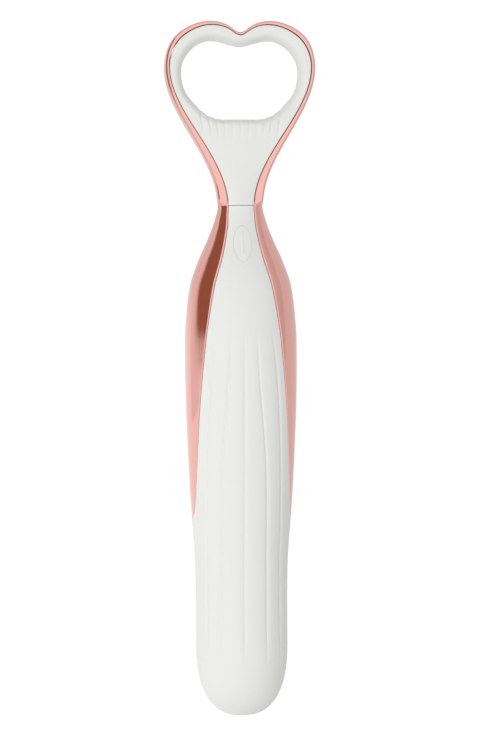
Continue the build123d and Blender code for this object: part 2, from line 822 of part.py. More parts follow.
def nodes():
    """Every node of the wand, by name."""
    envelope = loop_envelope()
    right_flank, left_flank = flanks()
    return {
        "body_skin": body_skin(),
        "loop_skin": loop_skin(envelope),
        "loop_band": loop_band(envelope),
        "right_flank": right_flank,
        "left_flank": left_flank,
        "loop_spine": loop_spine(),
        "core_front_shell": core_front_shell(),
        "core_rear_shell": core_rear_shell(),
        "shell_screws": shell_screws(),
        "spine_screws": spine_screws(),
        "board_screws": board_screws(),
        "neck_seal": neck_seal(),
        "power_button": power_button(),
        "button_plunger": button_plunger(),
        "switch_stem": switch_stem(),
        "switch_body": switch_body(),
        "circuit_board": circuit_board(),
        "controller_chip": controller_chip(),
        "status_lamp": status_lamp(),
        "battery_cell": battery_cell(),
        "battery_tabs": battery_tabs(),
        "battery_foam": battery_foam(),
        "battery_leads": battery_leads(),
        "motor_can": motor_can(),
        "motor_magnets": motor_magnets(),
        "motor_end_cap": motor_end_cap(),
        "motor_bush": motor_bush(),
        "motor_terminals": motor_terminals(),
        "motor_boot": motor_boot(),
        "motor_leads": motor_leads(),
        "motor_shaft": motor_shaft(),
        "rotor_armature": rotor_armature(),
        "eccentric_weight": eccentric_weight(),
        "contact_carrier": contact_carrier(),
        "charge_contacts": charge_contacts(),
        "charge_magnets": charge_magnets(),
        "charge_leads": charge_leads(),
    }


def write(name, shape):
    solids = []
    for piece in shape if isinstance(shape, (list, ShapeList)) else [shape]:
        solids += list(piece.solids())
    whole = solids[0] if len(solids) == 1 else Compound(children=solids)
    whole.label = name
    export_step(whole, os.path.join("parts", name + ".step"))


os.makedirs("parts", exist_ok=True)
for node_name, node_shape in nodes().items():
    write(node_name, node_shape)
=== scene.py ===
# The wand and its stage. Lengths are worked out in millimetres, as on the maker's drawing, and
# turned into metres where a mesh or a light is placed. "at" is always a distance from the tip.
import math

import bmesh
import bpy
import numpy as np
from mathutils import Matrix, Vector


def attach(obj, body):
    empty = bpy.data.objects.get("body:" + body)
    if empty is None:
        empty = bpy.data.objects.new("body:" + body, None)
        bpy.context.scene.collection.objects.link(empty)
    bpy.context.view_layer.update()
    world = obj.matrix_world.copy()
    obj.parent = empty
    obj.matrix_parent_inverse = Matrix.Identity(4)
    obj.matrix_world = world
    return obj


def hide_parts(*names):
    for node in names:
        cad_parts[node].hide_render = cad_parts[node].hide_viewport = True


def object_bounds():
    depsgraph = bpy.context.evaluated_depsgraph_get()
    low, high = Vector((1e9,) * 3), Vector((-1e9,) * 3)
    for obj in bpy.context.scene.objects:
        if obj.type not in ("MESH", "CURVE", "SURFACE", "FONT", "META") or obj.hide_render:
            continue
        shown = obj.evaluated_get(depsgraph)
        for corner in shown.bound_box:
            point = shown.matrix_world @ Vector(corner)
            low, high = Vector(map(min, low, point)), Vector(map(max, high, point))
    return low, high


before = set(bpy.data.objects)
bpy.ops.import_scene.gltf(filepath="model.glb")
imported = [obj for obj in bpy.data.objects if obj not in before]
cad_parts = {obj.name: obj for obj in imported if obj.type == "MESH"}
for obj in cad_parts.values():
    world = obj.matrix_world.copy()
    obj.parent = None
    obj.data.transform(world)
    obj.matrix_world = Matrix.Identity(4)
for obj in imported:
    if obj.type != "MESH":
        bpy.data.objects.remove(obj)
cad_box = [list(corner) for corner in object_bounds()]

# ---------------------------------------------------------------- camera
# A long lens looks straight down on the wand, which lies on its back with its loop away from the
# viewer. The wand's front is turned a few degrees to the right and leans a hair to the left.
MM = 0.001
lower_corner, upper_corner = (Vector(corner) for corner in cad_box)
overall_length = (upper_corner.y - lower_corner.y) / MM
lens_length = 135.0
sensor_height = 36.0
room_round_it = 1.0604
view_height = room_round_it * overall_length * MM
aim_left, aim_along = 0.3, 0.3
front_turn = math.radians(4.4)
lean = math.radians(0.29)

camera_data = bpy.data.cameras.new("studio_camera")
camera_data.sensor_fit = "VERTICAL"
camera_data.sensor_height = sensor_height
camera_data.lens = lens_length
camera = bpy.data.objects.new("studio_camera", camera_data)
bpy.context.collection.objects.link(camera)
aim = Vector((-aim_left * MM, aim_along * MM, 0.5 * upper_corner.z))
away = Vector((-math.sin(front_turn), 0.0, math.cos(front_turn)))
upward = Vector((math.sin(lean) * math.cos(front_turn), math.cos(lean),
                 math.sin(lean) * math.sin(front_turn)))
sideways = upward.cross(away).normalized()
upward = away.cross(sideways)
stand_off = view_height * lens_length / sensor_height
turned = Matrix((sideways, upward, away)).transposed().to_4x4()
camera.matrix_world = Matrix.Translation(aim + away * stand_off) @ turned
bpy.context.scene.camera = camera

# ---------------------------------------------------------------- floor and lights
# A plain white sweep, an even white room and one large soft light from the left. Cloths and cards
# out of the camera's sight put the brown and grey shapes into the plated frame; the two grey cards
# lying on the floor are painted shade of the floor, for those reflections. Metres throughout.
room_half, roof_height, wall_away = 2.5, 0.8, 2.4
floor_half = 3.0
key_place, key_side, key_power = (-0.36, -0.10, 0.94), 1.3, 6.6
cloth_away, cloth_end, cloth_top = 0.25, 0.33, 0.172
card_half, card_lift = 0.5, 0.0006
brown, pale = (0.27, 0.125, 0.075), (0.92, 0.92, 0.92)


def coloured(name, colour, roughness, **sockets):
    """A material with one principled shader, and that shader."""
    material = bpy.data.materials.new(name)
    material.use_nodes = True
    shader = material.node_tree.nodes["Principled BSDF"]
    shader.inputs["Base Color"].default_value = (*colour, 1.0)
    shader.inputs["Roughness"].default_value = roughness
    for socket, value in sockets.items():
        shader.inputs[socket.replace("_", " ")].default_value = value
    return material, shader


def flat_card(name, corners, material):
    """A flat card between four corners, kept on the stage."""
    data = bpy.data.meshes.new(name)
    data.from_pydata(corners, [], [(0, 1, 2, 3)])
    data.materials.append(material)
    card = bpy.data.objects.new(name, data)
    bpy.context.collection.objects.link(card)
    return card


def level_card(name, low, high, z, material):
    """A card that lies level, between two (x, y) corners."""
    corners = [(low[0], low[1], z), (high[0], low[1], z), (high[0], high[1], z), (low[0], high[1], z)]
    return flat_card(name, corners, material)


floor_white, floor_shader = coloured("floor_white", (0.35, 0.35, 0.35), 0.9)
floor_shader.inputs["Emission Color"].default_value = (1, 1, 1, 1)
floor_shader.inputs["Emission Strength"].default_value = 0.78
floor_shader.inputs["Specular IOR Level"].default_value = 0.0
level_card("floor", (-floor_half, -floor_half), (floor_half, floor_half), 0.0, floor_white)

key_data = bpy.data.lights.new("key_light", "AREA")
key_data.shape = "RECTANGLE"
key_data.size, key_data.size_y = key_side, key_side
key_data.energy = key_power
key_data.color = (0.985, 0.995, 1.0)
key_light = bpy.data.objects.new("key_light", key_data)
key_light.location = key_place
key_light.visible_glossy = False
key_light.rotation_euler = (-key_light.location).to_track_quat("-Z", "Y").to_euler()
bpy.context.collection.objects.link(key_light)
world = bpy.data.worlds.new("white_room")
world.use_nodes = True
world.node_tree.nodes["Background"].inputs["Color"].default_value = (1.0, 0.995, 0.965, 1.0)
world.node_tree.nodes["Background"].inputs["Strength"].default_value = 0.53
bpy.context.scene.world = world
bpy.context.scene.view_settings.view_transform = "Standard"
bpy.context.scene.view_settings.look = "None"


def glow_only(name, colour, fades=(), other=pale):
    """Even light from a card. Each fade (axis, start, end) turns it from the other colour on the way."""
    material = bpy.data.materials.new(name)
    material.use_nodes = True
    tree = material.node_tree
    tree.nodes.remove(tree.nodes["Principled BSDF"])
    glow = tree.nodes.new("ShaderNodeEmission")
    glow.inputs["Color"].default_value = (*colour, 1.0)
    tree.links.new(glow.outputs[0], tree.nodes["Material Output"].inputs["Surface"])
    if fades:
        place = tree.nodes.new("ShaderNodeTexCoord")
        parts = tree.nodes.new("ShaderNodeSeparateXYZ")
        blend = tree.nodes.new("ShaderNodeMix")
        blend.data_type = "RGBA"
        blend.inputs["A"].default_value = (*other, 1.0)
        blend.inputs["B"].default_value = (*colour, 1.0)
        tree.links.new(place.outputs["Object"], parts.inputs["Vector"])
        whole = None
        for axis, start, end in fades:
            share = tree.nodes.new("ShaderNodeMapRange")
            share.interpolation_type = "SMOOTHSTEP"
            share.inputs["From Min"].default_value = start
            share.inputs["From Max"].default_value = end
            tree.links.new(parts.outputs[axis], share.inputs["Value"])
            if whole is None:
                whole = share.outputs["Result"]
            else:
                both = tree.nodes.new("ShaderNodeMath")
                both.operation = "MULTIPLY"
                tree.links.new(whole, both.inputs[0])
                tree.links.new(share.outputs["Result"], both.inputs[1])
                whole = both.outputs["Value"]
        tree.links.new(whole, blend.inputs["Factor"])
        tree.links.new(blend.outputs["Result"], glow.inputs["Color"])
    return material


def out_of_sight(card, shades=False):
    """Leaves a card to reflections alone, or also to the soft light that it gives or takes away."""
    card.visible_camera = card.visible_shadow = False
    card.visible_diffuse = shades


def upright_card(name, x, low, high, material, shades=False):
    """A card across X, between two (y, z) corners."""
    corners = [(x, low[0], low[1]), (x, high[0], low[1]), (x, high[0], high[1]), (x, low[0], high[1])]
    out_of_sight(flat_card(name, corners, material), shades)


out_of_sight(level_card("roof", (-room_half, -room_half), (room_half, room_half), roof_height,
                        glow_only("roof", (0.99, 0.99, 0.99))))
upright_card("left_wall", -wall_away, (-room_half, 0.0), (room_half, roof_height),
             glow_only("left_wall", pale))

left_cloth = glow_only("left_cloth", brown, [("Y", -0.025, 0.047), ("Z", cloth_top, cloth_top - 0.012)])
upright_card("left_cloth", -cloth_away, (-0.06, 0.0), (cloth_end, cloth_top), left_cloth)
right_cloth = glow_only("right_cloth", (0.58, 0.555, 0.555), [("Y", -0.15, 0.03), ("Z", 0.16, 0.02)],
                        (0.74, 0.73, 0.73))
upright_card("right_cloth", cloth_away, (-0.16, 0.0), (cloth_end, 0.15), right_cloth, True)

# Painted shade: a fixed grey card lying on the floor left of the wand, seen only in reflections, stands in
# for the dimmer floor beside the wand. It is darker towards the loop end.
left_floor_painted_shade = glow_only("left_floor_painted_shade", (0.74, 0.72, 0.72), [("Y", 0.005, 0.045)])
out_of_sight(level_card("left_floor_painted_shade", (-cloth_away, -card_half), (0.0, card_half), card_lift, left_floor_painted_shade))
# Painted shadow: a fixed grey card lying on the floor right of the wand stands in for the wand's soft
# shadow there. It is seen in the plating's reflections and by the soft light, so it also dims the floor's
# bounce light on the wand's right side.
right_floor_painted_shadow = glow_only("right_floor_painted_shadow", (0.68, 0.67, 0.67))
out_of_sight(level_card("right_floor_painted_shadow", (0.0, -card_half), (cloth_away, card_half), card_lift, right_floor_painted_shadow),
             True)
cloth_foot = glow_only("left_cloth_foot", brown, [("Y", -0.010, 0.048), ("X", -0.045, -0.13)],
                       (0.80, 0.78, 0.78))
out_of_sight(level_card("left_cloth_foot", (-cloth_away, -0.02), (-0.045, cloth_end), 2 * card_lift,
                        cloth_foot))

# ---------------------------------------------------------------- silicone sleeve
# One thick silicone moulding from the domed tip to the seam at the neck, drawn over the hard core.
# Fine flutes run down its front, a port holds the button and one in its back the charging contacts.
tip_y = lower_corner.y / MM
body_length = 165.2
seam_y = tip_y + body_length
back_flat = 0.4
flat_blend = 0.03
axis_z = 16.5 - back_flat
belly_half, body_half, neck_half = 14.9, 18.15, 7.3
belly_ratio, body_ratio, neck_ratio = 27.6 / 29.8, 33.0 / 36.3, 11.6 / 14.6
dome_length, dome_power = 24.0, 2.5
sleeve_end = body_length - 0.05
flank_end = 62.7
parting = 0.13
edge_round = 0.3
wall_depth = 1.7
lower_flank = ((0.145, 0.0), (0.225, 0.0), (0.300, 0.06), (0.382, 0.34), (0.460, 0.61),
               (0.540, 0.80), (0.618, 0.95), (0.700, 1.0), (0.735, 1.0))
upper_flank = ((0.798, 0.94), (0.845, 0.84), (0.892, 0.60), (0.939, 0.285), (0.975, 0.083), (1.0, 0.0))


def hermite(table, at):
    """Smooth value along a table of (place, value), level wherever the table turns back."""
    places = [p for p, _ in table]
    if at <= places[0]:
        return table[0][1]
    if at >= places[-1]:
        return table[-1][1]
    i = max(k for k in range(len(table) - 1) if places[k] <= at)

    def rise(k):
        return (table[k + 1][1] - table[k][1]) / (places[k + 1] - places[k])

    def slope(k):
        if k == 0 or k == len(table) - 1:
            return 0.0
        before, after = rise(k - 1), rise(k)
        return 2 * before * after / (before + after) if before * after > 0 else 0.0

    span = places[i + 1] - places[i]
    t = (at - places[i]) / span
    value = (2 * t**3 - 3 * t**2 + 1) * table[i][1] + (3 * t**2 - 2 * t**3) * table[i + 1][1]
    return value + (t**3 - 2 * t**2 + t) * span * slope(i) + (t**3 - t**2) * span * slope(i + 1)


width_line = [(s * body_length, belly_half + k * (body_half - belly_half)) for s, k in lower_flank]
width_line += [(s * body_length, neck_half + k * (body_half - neck_half)) for s, k in upper_flank]
ratio_line = [(0.30 * body_length, belly_ratio), (0.71 * body_length, body_ratio),
              (0.92 * body_length, 0.5 * (body_ratio + neck_ratio)), (body_length, neck_ratio)]
frame_edge = [(flank_end, 0.0), (66.3, 0.28), (70.2, 0.38), (82.6, 0.50), (102.4, 0.63), (120.6, 0.735),
              (138.0, 0.82), (150.3, 0.87), (158.0, 0.86), (body_length, 0.808)]


def half_width(at):
    """Half the body's width: a blunt dome at the tip, then the outline."""
    if at < dome_length:
        return belly_half * max(1 - (1 - at / dome_length) ** dome_power, 0) ** (1 / dome_power)
    return hermite(width_line, at)


def ratio(at):
    """The body's depth as a share of its width."""
    return hermite(ratio_line, at)


def middle_z(at):
    """Height of the section's middle: the slimmer end is let down until its back lies on the table."""
    if at > 0.70 * body_length:
        return axis_z
    return ratio(at) * max(hermite(width_line, at), belly_half) - back_flat


def edge_angle(at):
    """Angle round from the middle of the front to the edge of the plated flank."""
    if at <= flank_end:
        return 0.5 * math.pi
    return 0.5 * math.pi - math.asin(hermite(frame_edge, at))


def above_table(z):
    """Levels a height off where the back's flat cuts it, with a soft edge."""
    return 0.5 * (z + math.sqrt(z * z + flat_blend))


def skin_point(at, angle, inset=0.0):
    """A point of the body's surface, in metres. Angle 0 is the middle of the front, positive to +X."""
    wide = half_width(at)
    deep = wide * ratio(at)
    z = above_table(middle_z(at) + (deep - inset) * math.cos(angle))
    return ((wide - inset) * math.sin(angle) * MM, (tip_y + at) * MM, z * MM)


def rounded_edge(distance, radius=edge_round):
    """How far a surface has dropped at a distance from its rounded edge."""
    if distance >= radius:
        return 0.0
    return radius - math.sqrt(max(radius**2 - (radius - distance) ** 2, 0.0))


def smooth_step(low, high, value):
    """Rises softly from 0 at the low value to 1 at the high one."""
    t = min(max((value - low) / (high - low), 0.0), 1.0)
    return t * t * (3 - 2 * t)


def piece_from(name, build, material, body="handle"):
    """Makes an object from a bmesh that build fills, smooth-shaded, riding on a body."""
    mesh = bmesh.new()
    build(mesh)
    bmesh.ops.remove_doubles(mesh, verts=mesh.verts, dist=2e-7)
    bmesh.ops.dissolve_degenerate(mesh, edges=mesh.edges, dist=1e-7)
    bmesh.ops.recalc_face_normals(mesh, faces=mesh.faces)
    for face in mesh.faces:
        face.smooth = True
    data = bpy.data.meshes.new(name)
    mesh.to_mesh(data)
    mesh.free()
    data.materials.append(material)
    made = bpy.data.objects.new(name, data)
    bpy.context.collection.objects.link(made)
    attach(made, body)
    return made


def add_grid(mesh, rows, skip=lambda i, j: False):
    """Quads between rows of points. Returns the rows of vertices."""
    made = [[mesh.verts.new(p) for p in row] for row in rows]
    for i in range(len(made) - 1):
        for j in range(len(made[0]) - 1):
            if not skip(i, j):
                mesh.faces.new((made[i][j], made[i][j + 1], made[i + 1][j + 1], made[i + 1][j]))
    return made


# Where the flutes run beside the middle one: (distance from the tip, degrees round from the front).
# Past their ends the same two lines lead the mesh round the button's port.
inner_flute = [(37, 29.7), (76, 25.6), (112, 15.3), (128, 13.0),
               (144.5, 14.6), (152.7, 18.6), (160.9, 26.9), (165.2, 29.5)]
outer_flute = [(37, 53.0), (76, 45.9), (112, 35.9), (130, 27.5),
               (144.5, 23.0), (152.7, 25.0), (160.9, 30.6), (165.2, 33.0)]
flute_depth, flute_half = 0.25, 0.45
crown_depth, crown_half = 0.10, 1.6
flute_fade = ((14.0, 30.0), (108.0, 128.0))
window_foot, window_head = 144.5, 160.9
# Shares of the way from one line to the next, closest together beside the lines.
steps = (0, 0.02, 0.045, 0.075, 0.11, 0.16, 0.24, 0.36, 0.5, 0.64, 0.76, 0.84, 0.89, 0.925, 0.955, 0.98)
rim_steps = (0, 0.02, 0.045, 0.075, 0.11, 0.16, 0.24, 0.36, 0.5, 0.64, 0.76, 0.86, 0.92, 0.95, 0.975, 0.99)


def front_angles(at):
    """Angles of the sleeve's front columns: the flutes' own lines, and finer steps beside them."""
    edge = edge_angle(at) - (parting / half_width(max(at, 1.0)) if at > flank_end else 0.0)
    lines = [0.0, math.radians(hermite(inner_flute, at)), math.radians(hermite(outer_flute, at)), edge]
    half = []
    for k in range(3):
        for s in rim_steps if k == 2 else steps:
            half.append(lines[k] + s * (lines[k + 1] - lines[k]))
    half.append(edge)
    return [-a for a in reversed(half[1:])] + half


def flute_drop(at, angle):
    """Depth of the front's flutes, with slightly crowned strips between them."""
    strength = smooth_step(*flute_fade[0], at) * (1 - smooth_step(*flute_fade[1], at))
    if strength == 0.0:
        return 0.0
    lines = [0.0, hermite(inner_flute, at), hermite(outer_flute, at)]
    nearest = min(abs(abs(math.degrees(angle)) - line) for line in lines)
    across = math.radians(nearest) * half_width(at)
    groove = flute_depth * math.exp(-(across / flute_half) ** 2)
    return strength * (groove + crown_depth * math.exp(-(across / crown_half) ** 2))


def sleeve_rows():
    """Distances of the sleeve's rows, closest at the dome, the flanks' points, the button and the end."""
    dome = [dome_length * (k / 34) ** 2.1 for k in range(34)]
    dome[0] = 0.0004
    body = list(np.arange(dome_length, flank_end, 0.8)) + [flank_end]
    body += list(np.arange(flank_end + 0.25, flank_end + 3, 0.25))
    body += list(np.arange(flank_end + 3, window_foot - 0.7, 0.75))
    body += list(np.arange(window_foot, window_head + 0.01, 0.4))
    body += list(np.arange(window_head + 0.5, sleeve_end - 0.6, 0.5))
    return dome + body + [sleeve_end - d for d in (0.45, 0.3, 0.18, 0.09, 0.03, 0.0)]


def sleeve_inset(at, angle, edge):
    """How far the sleeve is rounded off beside a flank and at its upper end."""
    beside = abs(abs(angle) - edge) * half_width(at) if at > flank_end else edge_round
    fade = smooth_step(flank_end, flank_end + 2.0, at)
    return fade * rounded_edge(beside) + rounded_edge(sleeve_end - at)


button_at, button_half_length, button_half_width = 152.7, 5.95, 2.93
button_rim, button_port_depth = 0.12, 1.2
pad_at, pad_half_length, pad_half_width = 92.0, 8.0, 4.5
pad_gap, pad_rim, pad_port_depth = 0.15, 0.4, 1.5
pad_window_turn, pad_window_half_length = math.asin(7.0 / 18.0), 12.0
end_return = 1.6


def ellipse_reach(direction, half_length, half_wide):
    """Distance from the middle of an ellipse to its outline, along a direction from +X."""
    return 1 / math.hypot(math.cos(direction) / half_wide, math.sin(direction) / half_length)


def oval_reach(direction, half_length, half_wide):
    """The same for an oval with straight sides and round ends."""
    straight = half_length - half_wide
    c, s = abs(math.cos(direction)), abs(math.sin(direction))
    if c > 1e-9 and half_wide / c * s <= straight:
        return half_wide / c
    return straight * s + math.sqrt(max(half_wide**2 - (straight * c) ** 2, 0.0))


def port(mesh, loop, centre, reach, front, rim_round, depth):
    """Fills the window inside a loop of vertices down to an oval port with a rounded rim and a wall."""
    side = 1 if front else -1

    def surface(x, at, inset):
        wide = half_width(at)
        deep = wide * ratio(at)
        z = above_table(middle_z(at) + side * (deep * math.sqrt(1 - (x / wide) ** 2) - inset))
        return (x * MM, (tip_y + at) * MM, z * MM)

    inward = (0.62, 0.36, 0.16)
    rim = [rim_round * share for share in (1.1, 0.7, 0.45, 0.25, 0.1, 0.0)]
    rings = [loop]
    plan = []
    for v in loop:
        x, at = v.co.x / MM, v.co.y / MM - tip_y
        direction = math.atan2(at - centre, x)
        plan.append((x, at, direction, reach(direction)))

    def ring(away, inset, share=0.0):
        spots = []
        for x, at, direction, r in plan:
            ox, oat = (r + away) * math.cos(direction), centre + (r + away) * math.sin(direction)
            spots.append(mesh.verts.new(surface(ox + share * (x - ox), oat + share * (at - oat), inset)))
        rings.append(spots)

    for share in inward:
        ring(rim[0], 0.0, share)
    for away in rim:
        ring(away, rounded_edge(away, rim_round))
    ring(0.0, depth)
    for outer, inner in zip(rings, rings[1:]):
        n = len(outer)
        for k in range(n):
            mesh.faces.new((outer[k], outer[(k + 1) % n], inner[(k + 1) % n], inner[k]))


def window_loop(grid, rows, columns):
    """The vertices round a window of a grid, in order."""
    r0, r1, c0, c1 = *rows, *columns
    loop = [grid[r0][c] for c in range(c0, c1)] + [grid[r][c1] for r in range(r0, r1)]
    return loop + [grid[r1][c] for c in range(c1, c0, -1)] + [grid[r][c0] for r in range(r1, r0, -1)]


def build_sleeve(mesh):
    """The sleeve's front and back with their ports, its walls beside the flanks and its upper end."""
    rows = sleeve_rows()
    tip_row = next(i for i, at in enumerate(rows) if at >= flank_end - 1e-6)
    half = len(steps)
    middle_column = (len(front_angles(100.0)) - 1) // 2
    button_rows = [i for i, at in enumerate(rows) if window_foot - 0.1 < at < window_head + 0.1]
    window = (button_rows[0], button_rows[-1]), (middle_column - half, middle_column + half)
    front = []
    for at in rows:
        angles = front_angles(at)
        edge = angles[-1]
        front.append([skin_point(at, a, sleeve_inset(at, a, edge) + flute_drop(at, a)) for a in angles])

    def in_window(i, j):
        return window[0][0] <= i < window[0][1] and window[1][0] <= j < window[1][1]

    grid = add_grid(mesh, front, in_window)
    port(mesh, window_loop(grid, *window), button_at,
         lambda d: ellipse_reach(d, button_half_length, button_half_width),
         True, button_rim, button_port_depth)

    back = []
    shares = [k / 10 for k in range(10)]
    for at in rows:
        edge = front_angles(at)[-1]
        lines = [0.0, pad_window_turn * (1 - 0.3 * smooth_step(140, 150, at)), edge]
        reach = [lines[0] + s * (lines[1] - lines[0]) for s in shares]
        reach += [lines[1] + s * (lines[2] - lines[1]) for s in rim_steps] + [lines[2]]
        angles = [math.pi + a for a in [-r for r in reversed(reach[1:])] + reach]
        turn = [edge - abs(a - math.pi) for a in angles]
        fade = smooth_step(flank_end, flank_end + 2.0, at)
        inset = [fade * rounded_edge(t * half_width(at)) + rounded_edge(sleeve_end - at) for t in turn]
        back.append([skin_point(at, a, i) for a, i in zip(angles, inset)])
    pad_rows = [i for i, at in enumerate(rows) if abs(at - pad_at) < pad_window_half_length]
    centre = (len(back[0]) - 1) // 2
    pad_window = (pad_rows[0], pad_rows[-1]), (centre - len(shares), centre + len(shares))

    def in_pad(i, j):
        return pad_window[0][0] <= i < pad_window[0][1] and pad_window[1][0] <= j < pad_window[1][1]

    grid = add_grid(mesh, back, in_pad)
    port(mesh, window_loop(grid, *pad_window), pad_at,
         lambda d: oval_reach(d, pad_half_length + pad_gap, pad_half_width + pad_gap),
         False, pad_rim, pad_port_depth)

    for side in (1, -1):
        for edge_of in (lambda at: front_angles(at)[-1], lambda at: math.pi - front_angles(at)[-1]):
            wall = []
            for at in rows[tip_row:]:
                fade = smooth_step(flank_end, flank_end + 2.0, at)
                top = fade * edge_round + rounded_edge(sleeve_end - at)
                depths = (0.0, 0.5 * fade * wall_depth, fade * wall_depth)
                wall.append([skin_point(at, side * edge_of(at), top + d) for d in depths])
            add_grid(mesh, wall)
    for angles in (front_angles(sleeve_end), [math.pi - a for a in front_angles(sleeve_end)]):
        add_grid(mesh, [[skin_point(sleeve_end, a, inset) for a in angles]
                        for inset in (edge_round, end_return)])


def silicone(name, colour, grain=0.05):
    """Matt silicone with a silky bloom: a soft sheen, fine mould texture and the faintest clouding."""
    material, shader = coloured(name, colour, 0.48)
    shader.inputs["Sheen Weight"].default_value = 0.12
    shader.inputs["Sheen Roughness"].default_value = 0.5
    shader.inputs["Subsurface Weight"].default_value = 0.08
    shader.inputs["Subsurface Radius"].default_value = (1.0, 0.9, 0.8)
    shader.inputs["Subsurface Scale"].default_value = 0.0012
    tree = material.node_tree
    place = tree.nodes.new("ShaderNodeTexCoord")
    cloud = tree.nodes.new("ShaderNodeTexNoise")
    cloud.inputs["Scale"].default_value = 60.0
    cloud.inputs["Detail"].default_value = 3.0
    tint = tree.nodes.new("ShaderNodeMix")
    tint.data_type = "RGBA"
    tint.inputs["A"].default_value = (*colour, 1.0)
    tint.inputs["B"].default_value = (*(c * 0.975 for c in colour), 1.0)
    rough = tree.nodes.new("ShaderNodeMapRange")
    rough.inputs["To Min"].default_value = 0.42
    rough.inputs["To Max"].default_value = 0.56
    fine = tree.nodes.new("ShaderNodeTexNoise")
    fine.inputs["Scale"].default_value = 2600.0
    fine.inputs["Detail"].default_value = 2.0
    bump = tree.nodes.new("ShaderNodeBump")
    bump.inputs["Strength"].default_value = grain
    bump.inputs["Distance"].default_value = 0.0001
    link = tree.links.new
    link(place.outputs["Object"], cloud.inputs["Vector"])
    link(place.outputs["Object"], fine.inputs["Vector"])
    link(cloud.outputs["Fac"], tint.inputs["Factor"])
    link(tint.outputs["Result"], shader.inputs["Base Color"])
    link(cloud.outputs["Fac"], rough.inputs["Value"])
    link(rough.outputs["Result"], shader.inputs["Roughness"])
    link(fine.outputs["Fac"], bump.inputs["Height"])
    link(bump.outputs["Normal"], shader.inputs["Normal"])
    return material


sleeve_white = silicone("sleeve_white", (0.82, 0.83, 0.81))
sleeve = piece_from("silicone_sleeve", build_sleeve, sleeve_white)
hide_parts("body_skin")

# ---------------------------------------------------------------- button
# A raised oval of the same silicone with a small upright bar moulded on it. It is pressed straight
# down on to a plunger and a tact switch.
bar_half_length, bar_half_width, bar_height = 3.7, 0.30, 0.16
button_gap = 0.02


def build_button(mesh):
    """Rings from the bar's middle line out to the button's rounded rim and down its wall."""
    profile = [(0.0, 1.0), (0.5, 0.97), (0.8, 0.75), (1.0, 0.42), (1.25, 0.12), (1.6, 0.0), (2.2, 0.0)]
    near = [(share * bar_half_width, rise * bar_height) for share, rise in profile]
    far = (0.2, 0.4, 0.6, 0.75, 0.87)
    rim = [button_rim * share for share in (1.3, 1.0, 0.7, 0.45, 0.25, 0.1, 0.02, 0.0)]
    around = 120
    rings = [[] for _ in range(len(near) + len(far) + len(rim) + 1)]
    for k in range(around):
        turn = 2 * math.pi * (k + 0.5) / around
        edge = ellipse_reach(turn, button_half_length - button_gap, button_half_width - button_gap)
        out_x, out_y = edge * math.cos(turn), edge * math.sin(turn)
        in_y = max(min(out_y, bar_half_length - bar_half_width), -bar_half_length + bar_half_width) * 0.98
        span = math.hypot(out_x, out_y - in_y)
        path = near + [(near[-1][0] + f * (span - 1.3 * button_rim - near[-1][0]), 0.0) for f in far]
        path += [(span - d, -rounded_edge(d, button_rim)) for d in rim] + [(span, -1.0)]
        for ring, (d, lift) in zip(rings, path):
            x, y = out_x * d / span, in_y + (out_y - in_y) * d / span
            at = button_at + y
            wide = half_width(at)
            z = middle_z(at) + wide * ratio(at) * math.sqrt(1 - (x / wide) ** 2) + lift
            ring.append((x * MM, (tip_y + at) * MM, z * MM))
    add_grid(mesh, [ring + ring[:1] for ring in rings])


button_white = silicone("button_white", (0.83, 0.84, 0.82))
button = piece_from("press_button", build_button, button_white, body="button")
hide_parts("power_button")

# ---------------------------------------------------------------- loop cover
# Silicone moulded over a hard ring: a plump collar round the finger opening, running down in a
# shallow dish to the seam. Short grip flutes are pressed into the opening's lower edge.
loop_length = overall_length - body_length
loop_half = 24.5
cleft_depth = 3.6
band_width, band_at_neck, band_at_cleft = 1.45, 3.0, 1.16
ring_width, ring_at_lobe, ring_at_cleft = 4.1, 4.75, 3.3
web_length = 28.1
# Half the loop's depth along its middle, and how wide the oval of its section is: (above seam, size).
depth_line = ((0, 5.8), (8, 5.15), (14, 5.25), (25, 5.95), (60, 5.95))
oval_line = ((0, 7.3), (6, 9.2), (13, 15.0), (26, 46.0), (60, 90.0))
cover_gap, cover_return = 0.2, 1.5
collar_round, collar_power = 2.9, 2.3
grip_pitch, grip_half, grip_depth, grip_reach = 2.65, 0.42, 0.42, 14.5
grip_fade = (2.5, 8.0)


def curve_through(points, count, start=None, end=None):
    """Evenly spaced points on a smooth curve through points, with given directions at its ends."""
    p = np.array(points, float)
    spans = np.linalg.norm(np.diff(p, axis=0), axis=1)
    n = len(p)
    system, right = np.zeros((n, n)), np.zeros((n, 2))
    for k in range(1, n - 1):
        h0, h1 = spans[k - 1], spans[k]
        system[k, k - 1], system[k, k], system[k, k + 1] = h1, 2 * (h0 + h1), h0
        right[k] = 3 * (h1 / h0 * (p[k] - p[k - 1]) + h0 / h1 * (p[k + 1] - p[k]))
    for row, given, a, b in ((0, start, 0, 1), (n - 1, end, n - 1, n - 2)):
        system[row, a] = 1.0
        if given is None:
            system[row, b] = 1.0
            h = spans[0] if row == 0 else spans[-1]
            right[row] = 2 * (p[1] - p[0]) / h if row == 0 else 2 * (p[-1] - p[-2]) / h
        else:
            right[row] = given
    tangents = np.linalg.solve(system, right)
    fine = []
    for k in range(n - 1):
        for t in np.linspace(0, 1, 40, endpoint=False):
            h = spans[k]
            fine.append((2 * t**3 - 3 * t**2 + 1) * p[k] + (t**3 - 2 * t**2 + t) * h * tangents[k]
                        + (3 * t**2 - 2 * t**3) * p[k + 1] + (t**3 - t**2) * h * tangents[k + 1])
    fine = np.array(fine + [p[-1]])
    along = np.concatenate(([0], np.cumsum(np.linalg.norm(np.diff(fine, axis=0), axis=1))))
    wanted = np.linspace(0, along[-1], count)
    return np.column_stack([np.interp(wanted, along, fine[:, c]) for c in (0, 1)])


